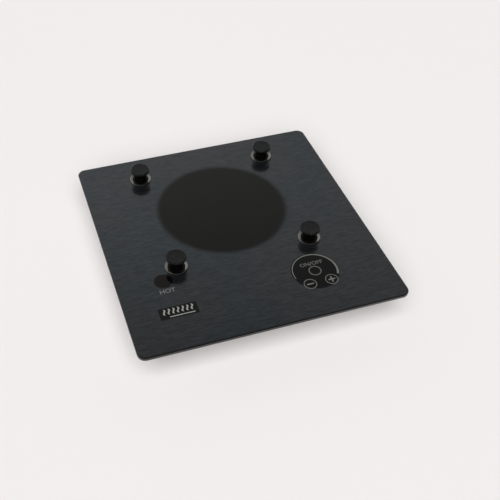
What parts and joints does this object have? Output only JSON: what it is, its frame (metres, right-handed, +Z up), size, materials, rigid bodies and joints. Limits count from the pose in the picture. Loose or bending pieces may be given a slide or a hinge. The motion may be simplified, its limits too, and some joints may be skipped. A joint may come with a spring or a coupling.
{
  "type": "hot plate burner",
  "caption": "Drop-in single-burner electric hot plate: square glass top on a steel pan, touch controls, lift-out posts round the burner and screw clamps for the worktop.",
  "frame": {"origin": "centre of the base: straight below the middle of the glass top, level with the underside of the pan", "axes": "+Z up, -Y towards the user, where the touch controls are, +X to the user's right"},
  "size_m": [0.305, 0.315, 0.0689],
  "materials": {
    "ceramic_glass": "polished, with a fine brushed print under the surface",
    "seal_foam": "matt closed-cell foam",
    "galvanised_steel": "satin zinc-coated sheet",
    "black_rubber": "satin heat-resistant silicone",
    "chrome": "polished",
    "stainless_steel": "turned, lightly brushed",
    "insulation_board": "matt, fibrous",
    "heater_alloy": "dull, oxidised",
    "white_ceramic": "matt steatite",
    "circuit_board": "satin solder resist",
    "black_plastic": "fine moulded grain",
    "blue_plastic": "smooth moulded",
    "aluminium": "extruded, satin",
    "red_lens": "clear tinted, smooth",
    "white_nylon": "smooth moulded",
    "grey_insulation": "satin flexible plastic"
  },
  "bodies": {
    "root": {"glass_plate": "ceramic_glass", "rim_gasket": "seal_foam", "mounting_frame": "galvanised_steel", "chassis_pan": "galvanised_steel", "heat_shield": "galvanised_steel", "service_cover": "galvanised_steel", "cover_screw_left": "stainless_steel", "cover_screw_right": "stainless_steel", "cable_gland": "black_plastic", "gland_nut": "black_plastic", "element_dish": "galvanised_steel", "insulation_cup": "insulation_board", "heating_ribbon": "heater_alloy", "limiter_rod": "white_ceramic", "limiter_head": "white_ceramic", "element_terminal_block": "white_ceramic", "element_bracket": "galvanised_steel", "element_spring_left": "stainless_steel", "element_spring_right": "stainless_steel", "touch_board": "circuit_board", "touch_stand": "black_plastic", "touch_pad_power": "grey_insulation", "touch_pad_minus": "grey_insulation", "touch_pad_plus": "grey_insulation", "lamp_holder": "black_plastic", "hot_lamp": "red_lens", "power_board": "circuit_board", "relay": "blue_plastic", "capacitor": "grey_insulation", "transformer": "black_plastic", "heatsink": "aluminium", "supply_terminal_block": "white_ceramic", "supply_loom": "grey_insulation", "element_lead_live": "black_rubber", "element_lead_neutral": "black_rubber", "touch_ribbon": "grey_insulation", "post_collar_front_left": "chrome", "post_socket_front_left": "stainless_steel", "post_collar_front_right": "chrome", "post_socket_front_right": "stainless_steel", "post_collar_back_left": "chrome", "post_socket_back_left": "stainless_steel", "post_collar_back_right": "chrome", "post_socket_back_right": "stainless_steel", "clamp_lock_screw_left": "stainless_steel", "clamp_lock_screw_right": "stainless_steel"},
    "post_front_left": {"post_head_front_left": "black_rubber", "post_stud_front_left": "stainless_steel"},
    "post_front_right": {"post_head_front_right": "black_rubber", "post_stud_front_right": "stainless_steel"},
    "post_back_left": {"post_head_back_left": "black_rubber", "post_stud_back_left": "stainless_steel"},
    "post_back_right": {"post_head_back_right": "black_rubber", "post_stud_back_right": "stainless_steel"},
    "bracket_left": {"clamp_bracket_left": "galvanised_steel"},
    "foot_left": {"clamp_foot_left": "white_nylon"},
    "screw_left": {"clamp_thumb_screw_left": "stainless_steel"},
    "bracket_right": {"clamp_bracket_right": "galvanised_steel"},
    "foot_right": {"clamp_foot_right": "white_nylon"},
    "screw_right": {"clamp_thumb_screw_right": "stainless_steel"}
  },
  "joints": [
    {"name": "post_front_left_lift", "type": "slide", "parent": "root", "child": "post_front_left", "axis": [0, 0, 1], "range_m": [0, 0.018]},
    {"name": "post_front_right_lift", "type": "slide", "parent": "root", "child": "post_front_right", "axis": [0, 0, 1], "range_m": [0, 0.018]},
    {"name": "post_back_left_lift", "type": "slide", "parent": "root", "child": "post_back_left", "axis": [0, 0, 1], "range_m": [0, 0.018]},
    {"name": "post_back_right_lift", "type": "slide", "parent": "root", "child": "post_back_right", "axis": [0, 0, 1], "range_m": [0, 0.018]},
    {"name": "bracket_left_slide", "type": "slide", "parent": "root", "child": "bracket_left", "axis": [0, 0, 1], "range_m": [0, 0.01]},
    {"name": "foot_left_rise", "type": "slide", "parent": "bracket_left", "child": "foot_left", "axis": [0, 0, 1], "range_m": [0, 0.007]},
    {"name": "thumb_screw_left_turn", "type": "hinge", "parent": "foot_left", "child": "screw_left", "pos_m": [-0.1385, 0.001, 0.001], "axis": [0, 0, 1], "range_deg": [0, 3150]},
    {"name": "bracket_right_slide", "type": "slide", "parent": "root", "child": "bracket_right", "axis": [0, 0, 1], "range_m": [0, 0.01]},
    {"name": "foot_right_rise", "type": "slide", "parent": "bracket_right", "child": "foot_right", "axis": [0, 0, 1], "range_m": [0, 0.007]},
    {"name": "thumb_screw_right_turn", "type": "hinge", "parent": "foot_right", "child": "screw_right", "pos_m": [0.1385, 0.001, 0.001], "axis": [0, 0, 1], "range_deg": [0, 3150]}
  ],
  "couplings": [
    {"joint": "thumb_screw_left_turn", "follows": "foot_left_rise", "rad_per_m": 7853.9},
    {"joint": "thumb_screw_right_turn", "follows": "foot_right_rise", "rad_per_m": 7853.9}
  ]
}
